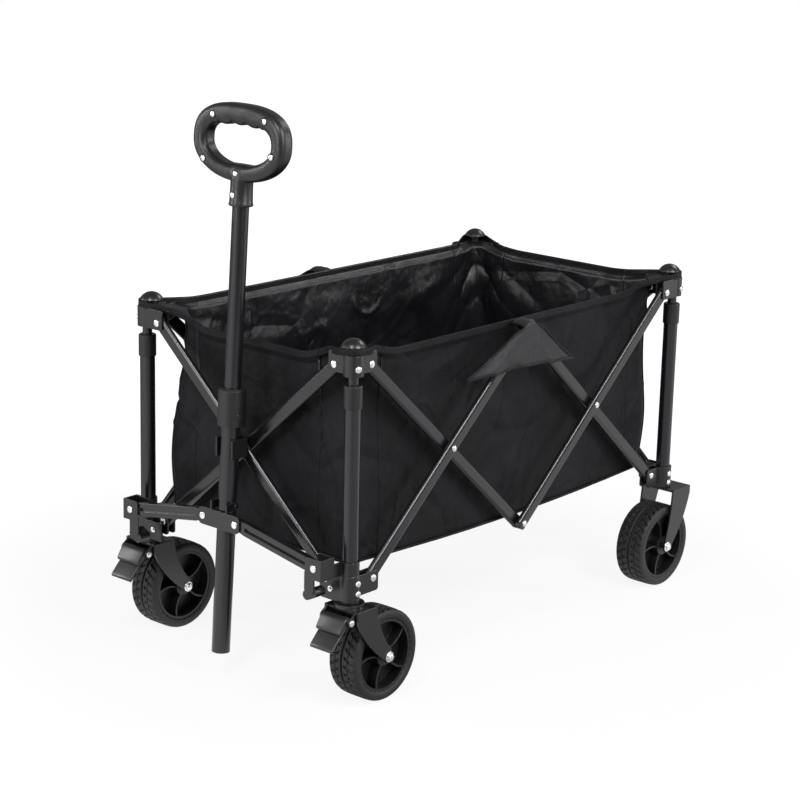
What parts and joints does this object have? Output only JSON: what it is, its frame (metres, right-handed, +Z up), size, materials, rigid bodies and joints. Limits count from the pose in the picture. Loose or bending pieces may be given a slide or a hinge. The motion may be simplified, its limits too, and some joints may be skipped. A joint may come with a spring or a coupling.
{
  "type": "wagon with pull handle",
  "caption": "Folding pull wagon with an open fabric bag on a scissor-bar frame, swivelling front casters, fixed rear wheels and a telescoping handle with a ring grip.",
  "frame": {"origin": "on the ground, midway between the four corner posts", "axes": "+X towards the end with the handle, +Y to the left side, +Z up"},
  "size_m": [0.9617, 0.534, 0.9219],
  "materials": {
    "tube_metal": "black powder coat, satin",
    "bracket_metal": "black powder coat, satin",
    "fork_metal": "black powder coat, satin",
    "pedal_metal": "dark grey, satin",
    "trim_plastic": "black, lightly grained",
    "grip_plastic": "black, lightly grained",
    "wheel_plastic": "black, satin",
    "tyre_rubber": "black, matte with a moulded tread",
    "bag_fabric": "black woven, matte"
  },
  "bodies": {
    "corner_fl": {"outer_post_fl": "tube_metal", "post_sleeve_fl": "trim_plastic", "lower_bracket_fl": "bracket_metal"},
    "top_fl": {"inner_post_fl": "tube_metal", "top_bracket_fl": "bracket_metal", "bag": "bag_fabric"},
    "wheel_fl": {"tyre_fl": "tyre_rubber", "wheel_hub_fl": "wheel_plastic"},
    "caster_fl": {"caster_fork_fl": "fork_metal"},
    "pedal_fl": {"brake_pedal_fl": "pedal_metal"},
    "corner_fr": {"outer_post_fr": "tube_metal", "post_sleeve_fr": "trim_plastic", "lower_bracket_fr": "bracket_metal"},
    "top_fr": {"inner_post_fr": "tube_metal", "top_bracket_fr": "bracket_metal"},
    "wheel_fr": {"tyre_fr": "tyre_rubber", "wheel_hub_fr": "wheel_plastic"},
    "caster_fr": {"caster_fork_fr": "fork_metal"},
    "pedal_fr": {"brake_pedal_fr": "pedal_metal"},
    "corner_rl": {"outer_post_rl": "tube_metal", "post_sleeve_rl": "trim_plastic", "lower_bracket_rl": "bracket_metal", "rear_fork_rl": "fork_metal"},
    "top_rl": {"inner_post_rl": "tube_metal", "top_bracket_rl": "bracket_metal"},
    "wheel_rl": {"tyre_rl": "tyre_rubber", "wheel_hub_rl": "wheel_plastic"},
    "corner_rr": {"outer_post_rr": "tube_metal", "post_sleeve_rr": "trim_plastic", "lower_bracket_rr": "bracket_metal", "rear_fork_rr": "fork_metal"},
    "top_rr": {"inner_post_rr": "tube_metal", "top_bracket_rr": "bracket_metal"},
    "wheel_rr": {"tyre_rr": "tyre_rubber", "wheel_hub_rr": "wheel_plastic"},
    "left_front_down": {"left_bar_front_down": "tube_metal"},
    "left_front_up": {"left_bar_front_up": "tube_metal"},
    "left_rear_down": {"left_bar_rear_down": "tube_metal"},
    "left_rear_up": {"left_bar_rear_up": "tube_metal"},
    "right_front_down": {"right_bar_front_down": "tube_metal"},
    "right_front_up": {"right_bar_front_up": "tube_metal"},
    "right_rear_down": {"right_bar_rear_down": "tube_metal"},
    "right_rear_up": {"right_bar_rear_up": "tube_metal"},
    "front_to_left": {"front_bar_to_left": "tube_metal"},
    "front_to_right": {"front_bar_to_right": "tube_metal"},
    "rear_to_left": {"rear_bar_to_left": "tube_metal"},
    "rear_to_right": {"rear_bar_to_right": "tube_metal"},
    "link_left": {"stretcher_left": "tube_metal"},
    "link_right": {"stretcher_right": "tube_metal"},
    "link_bracket": {"handle_bracket": "bracket_metal"},
    "clip": {"handle_clip": "trim_plastic"},
    "handle_lower": {"handle_outer_tube": "tube_metal", "handle_sleeve": "trim_plastic"},
    "handle_upper": {"handle_inner_tube": "tube_metal", "grip_front": "grip_plastic", "grip_rear": "grip_plastic"},
    "release_button": {"lock_button": "trim_plastic"}
  },
  "joints": [
    {"name": "fold", "type": "hinge", "parent": "corner_fl", "child": "left_front_up", "pos_m": [0.382, 0.229, 0.206], "axis": [0, 1, 0], "range_deg": [0, 30], "deforming": ["bag"]},
    {"name": "left_front_crossing", "type": "hinge", "parent": "left_front_up", "child": "left_front_down", "pos_m": [0.191, 0.229, 0.376], "axis": [0, 1, 0], "range_deg": [-60, 0]},
    {"name": "left_middle_top", "type": "hinge", "parent": "left_front_up", "child": "left_rear_up", "pos_m": [0, 0.229, 0.546], "axis": [0, 1, 0], "range_deg": [-60, 0]},
    {"name": "left_middle_low", "type": "hinge", "parent": "left_front_down", "child": "left_rear_down", "pos_m": [0, 0.229, 0.206], "axis": [0, 1, 0], "range_deg": [0, 60]},
    {"name": "corner_rl_pivot", "type": "hinge", "parent": "left_rear_up", "child": "corner_rl", "pos_m": [-0.382, 0.229, 0.206], "axis": [0, 1, 0], "range_deg": [0, 30]},
    {"name": "top_rl_pivot", "type": "hinge", "parent": "left_rear_down", "child": "top_rl", "pos_m": [-0.382, 0.229, 0.546], "axis": [0, 1, 0], "range_deg": [-30, 0]},
    {"name": "top_fl_pivot", "type": "hinge", "parent": "left_front_down", "child": "top_fl", "pos_m": [0.382, 0.229, 0.546], "axis": [0, 1, 0], "range_deg": [0, 30]},
    {"name": "front_to_left_pivot", "type": "hinge", "parent": "corner_fl", "child": "front_to_left", "pos_m": [0.42, 0.191, 0.206], "axis": [1, 0, 0], "range_deg": [-30, 0]},
    {"name": "front_crossing", "type": "hinge", "parent": "front_to_left", "child": "front_to_right", "pos_m": [0.42, 0, 0.376], "axis": [1, 0, 0], "range_deg": [0, 60]},
    {"name": "corner_fr_pivot", "type": "hinge", "parent": "front_to_right", "child": "corner_fr", "pos_m": [0.42, -0.191, 0.206], "axis": [1, 0, 0], "range_deg": [-30, 0]},
    {"name": "top_fr_pivot", "type": "hinge", "parent": "front_to_left", "child": "top_fr", "pos_m": [0.42, -0.191, 0.546], "axis": [1, 0, 0], "range_deg": [0, 30]},
    {"name": "clip_pivot", "type": "hinge", "parent": "front_to_left", "child": "clip", "pos_m": [0.42, 0, 0.376], "axis": [1, 0, 0], "range_deg": [0, 30]},
    {"name": "right_front_up_pivot", "type": "hinge", "parent": "corner_fr", "child": "right_front_up", "pos_m": [0.382, -0.229, 0.206], "axis": [0, 1, 0], "range_deg": [0, 30]},
    {"name": "right_front_crossing", "type": "hinge", "parent": "right_front_up", "child": "right_front_down", "pos_m": [0.191, -0.229, 0.376], "axis": [0, 1, 0], "range_deg": [-60, 0]},
    {"name": "right_middle_top", "type": "hinge", "parent": "right_front_up", "child": "right_rear_up", "pos_m": [0, -0.229, 0.546], "axis": [0, 1, 0], "range_deg": [-60, 0]},
    {"name": "right_middle_low", "type": "hinge", "parent": "right_front_down", "child": "right_rear_down", "pos_m": [0, -0.229, 0.206], "axis": [0, 1, 0], "range_deg": [0, 60]},
    {"name": "corner_rr_pivot", "type": "hinge", "parent": "right_rear_up", "child": "corner_rr", "pos_m": [-0.382, -0.229, 0.206], "axis": [0, 1, 0], "range_deg": [0, 30]},
    {"name": "top_rr_pivot", "type": "hinge", "parent": "right_rear_down", "child": "top_rr", "pos_m": [-0.382, -0.229, 0.546], "axis": [0, 1, 0], "range_deg": [-30, 0]},
    {"name": "rear_to_left_pivot", "type": "hinge", "parent": "corner_rl", "child": "rear_to_left", "pos_m": [-0.42, 0.191, 0.206], "axis": [1, 0, 0], "range_deg": [-30, 0]},
    {"name": "rear_crossing", "type": "hinge", "parent": "rear_to_left", "child": "rear_to_right", "pos_m": [-0.42, 0, 0.376], "axis": [1, 0, 0], "range_deg": [0, 60]},
    {"name": "link_left_pivot", "type": "hinge", "parent": "corner_fl", "child": "link_left", "pos_m": [0.47181, 0.208, 0.236], "axis": [1, 0, 0], "range_deg": [-63.3, 0]},
    {"name": "link_right_pivot", "type": "hinge", "parent": "corner_fr", "child": "link_right", "pos_m": [0.47181, -0.208, 0.236], "axis": [1, 0, 0], "range_deg": [0, 63.3]},
    {"name": "bracket_rise", "type": "slide", "parent": "clip", "child": "link_bracket", "axis": [0, 0, 1], "range_m": [0, 0.06807]},
    {"name": "handle_tilt", "type": "hinge", "parent": "link_bracket", "child": "handle_lower", "pos_m": [0.46, 0, 0.288], "axis": [0, -1, 0], "range_deg": [-43, 0]},
    {"name": "handle_telescope", "type": "slide", "parent": "handle_lower", "child": "handle_upper", "axis": [-0.0558, 0, 0.9984], "range_m": [-0.28, 0]},
    {"name": "button_press", "type": "slide", "parent": "handle_lower", "child": "release_button", "axis": [-0.2584, -0.9659, -0.0144], "range_m": [0, 0.003], "stiffness_N_per_m": 300},
    {"name": "caster_fl_swivel", "type": "hinge", "parent": "corner_fl", "child": "caster_fl", "pos_m": [0.42, 0.229, 0.167], "axis": [0, 0, 1], "continuous": true},
    {"name": "wheel_fl_spin", "type": "hinge", "parent": "caster_fl", "child": "wheel_fl", "pos_m": [0.362, 0.229, 0.075], "axis": [0, 1, 0], "continuous": true},
    {"name": "pedal_fl_press", "type": "hinge", "parent": "caster_fl", "child": "pedal_fl", "pos_m": [0.447, 0.229, 0.152], "axis": [0, 1, 0], "range_deg": [0, 10]},
    {"name": "caster_fr_swivel", "type": "hinge", "parent": "corner_fr", "child": "caster_fr", "pos_m": [0.42, -0.229, 0.167], "axis": [0, 0, 1], "continuous": true},
    {"name": "wheel_fr_spin", "type": "hinge", "parent": "caster_fr", "child": "wheel_fr", "pos_m": [0.362, -0.229, 0.075], "axis": [0, 1, 0], "continuous": true},
    {"name": "pedal_fr_press", "type": "hinge", "parent": "caster_fr", "child": "pedal_fr", "pos_m": [0.447, -0.229, 0.152], "axis": [0, 1, 0], "range_deg": [0, 10]},
    {"name": "wheel_rl_spin", "type": "hinge", "parent": "corner_rl", "child": "wheel_rl", "pos_m": [-0.398, 0.229, 0.075], "axis": [0, 1, 0], "continuous": true},
    {"name": "wheel_rr_spin", "type": "hinge", "parent": "corner_rr", "child": "wheel_rr", "pos_m": [-0.398, -0.229, 0.075], "axis": [0, 1, 0], "continuous": true}
  ],
  "couplings": [
    {"joint": "left_front_crossing", "follows": "fold", "ratio": -2},
    {"joint": "left_middle_top", "follows": "fold", "ratio": -2},
    {"joint": "left_middle_low", "follows": "fold", "ratio": 2},
    {"joint": "corner_rl_pivot", "follows": "fold", "ratio": 1},
    {"joint": "top_rl_pivot", "follows": "fold", "ratio": -1},
    {"joint": "top_fl_pivot", "follows": "fold", "ratio": 1},
    {"joint": "front_to_left_pivot", "follows": "fold", "ratio": -1},
    {"joint": "front_crossing", "follows": "fold", "ratio": 2},
    {"joint": "corner_fr_pivot", "follows": "fold", "ratio": -1},
    {"joint": "top_fr_pivot", "follows": "fold", "ratio": 1},
    {"joint": "clip_pivot", "follows": "fold", "ratio": 1},
    {"joint": "right_front_up_pivot", "follows": "fold", "ratio": 1},
    {"joint": "right_front_crossing", "follows": "fold", "ratio": -2},
    {"joint": "right_middle_top", "follows": "fold", "ratio": -2},
    {"joint": "right_middle_low", "follows": "fold", "ratio": 2},
    {"joint": "corner_rr_pivot", "follows": "fold", "ratio": 1},
    {"joint": "top_rr_pivot", "follows": "fold", "ratio": -1},
    {"joint": "rear_to_left_pivot", "follows": "fold", "ratio": -1},
    {"joint": "rear_crossing", "follows": "fold", "ratio": 2},
    {"joint": "link_left_pivot", "follows": "fold", "ratio": -2.11},
    {"joint": "link_right_pivot", "follows": "fold", "ratio": 2.11},
    {"joint": "bracket_rise", "follows": "fold", "m_per_rad": 0.13}
  ]
}
